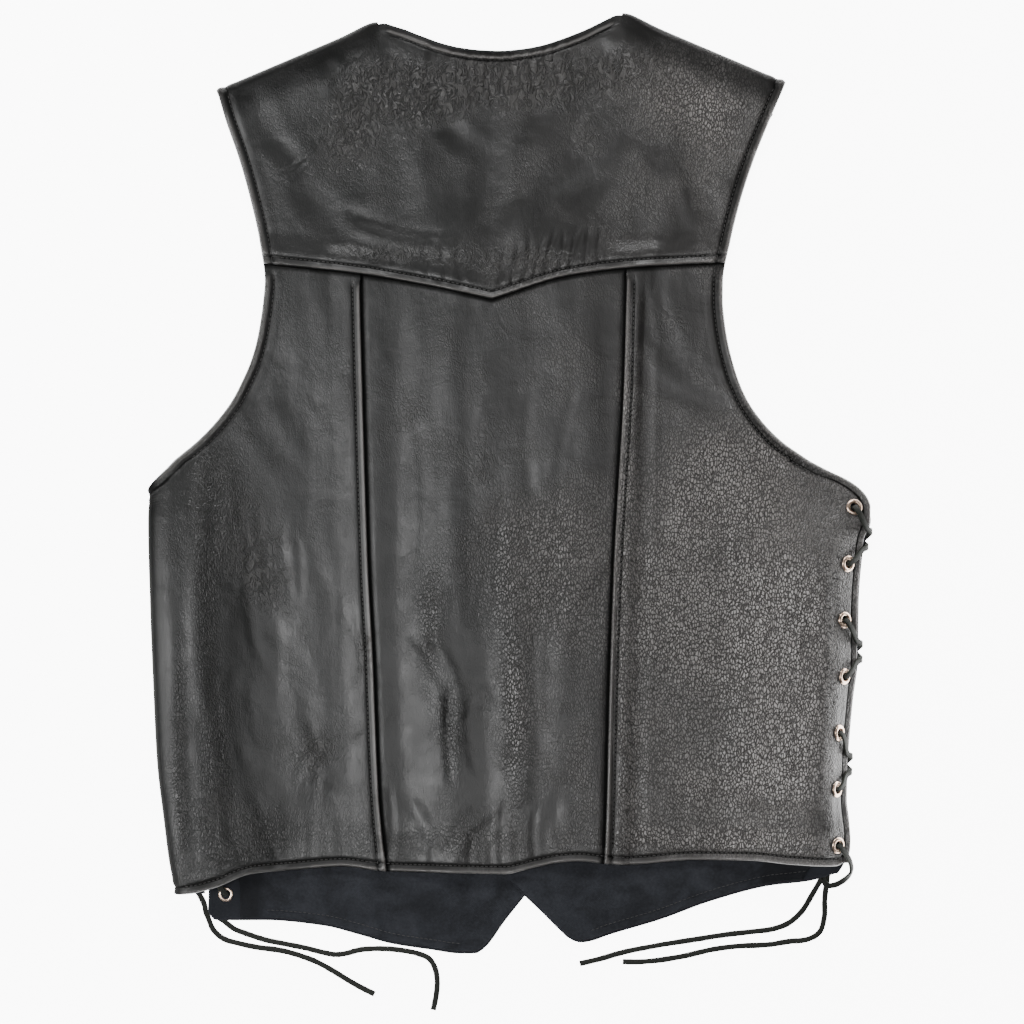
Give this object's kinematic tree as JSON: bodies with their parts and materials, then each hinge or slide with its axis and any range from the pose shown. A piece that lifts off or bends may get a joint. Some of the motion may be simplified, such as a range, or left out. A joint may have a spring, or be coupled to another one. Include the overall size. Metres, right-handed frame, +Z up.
{
  "type": "leather vest",
  "caption": "Black leather vest with laced sides, laid flat on its fronts with its back up: pointed back yoke, lapped back seams, eyelets and leather laces with free tails.",
  "frame": {"origin": "centre of the vest's footprint, on the surface that it lies on, without the lace tails", "axes": "+X to the right of the back as it is seen, +Y towards the neck, +Z up from the surface"},
  "size_m": [0.5447, 0.7493, 0.0292],
  "materials": {
    "leather": "semi-matt, pebbled grain",
    "lining": "matt woven",
    "metal": "polished, pale copper nickel",
    "lace": "matt cut thong"
  },
  "bodies": {
    "root": {"back_centre": "leather", "back_side_left": "leather", "back_side_right": "leather", "back_yoke": "leather", "eyelet_back_left_1": "metal", "eyelet_back_left_2": "metal", "eyelet_back_left_3": "metal", "eyelet_back_left_4": "metal", "eyelet_back_left_5": "metal", "eyelet_back_left_6": "metal", "eyelet_back_left_7": "metal", "eyelet_back_right_1": "metal", "eyelet_back_right_2": "metal", "eyelet_back_right_3": "metal", "eyelet_back_right_4": "metal", "eyelet_back_right_5": "metal", "eyelet_back_right_6": "metal", "eyelet_back_right_7": "metal", "eyelet_front_left_1": "metal", "eyelet_front_left_2": "metal", "eyelet_front_left_3": "metal", "eyelet_front_left_4": "metal", "eyelet_front_left_5": "metal", "eyelet_front_left_6": "metal", "eyelet_front_left_7": "metal", "eyelet_front_right_1": "metal", "eyelet_front_right_2": "metal", "eyelet_front_right_3": "metal", "eyelet_front_right_4": "metal", "eyelet_front_right_5": "metal", "eyelet_front_right_6": "metal", "eyelet_front_right_7": "metal", "front_left": "leather", "front_right": "leather", "lace_left_a": "lace", "lace_left_b": "lace", "lace_right_a": "lace", "lace_right_b": "lace", "lace_tail_left_a": "lace", "lace_tail_left_b": "lace", "lace_tail_right_a": "lace", "lace_tail_right_b": "lace", "lining_left": "lining", "lining_right": "lining", "snap_1": "metal", "snap_2": "metal", "snap_3": "metal", "snap_4": "metal"}
  },
  "joints": []
}
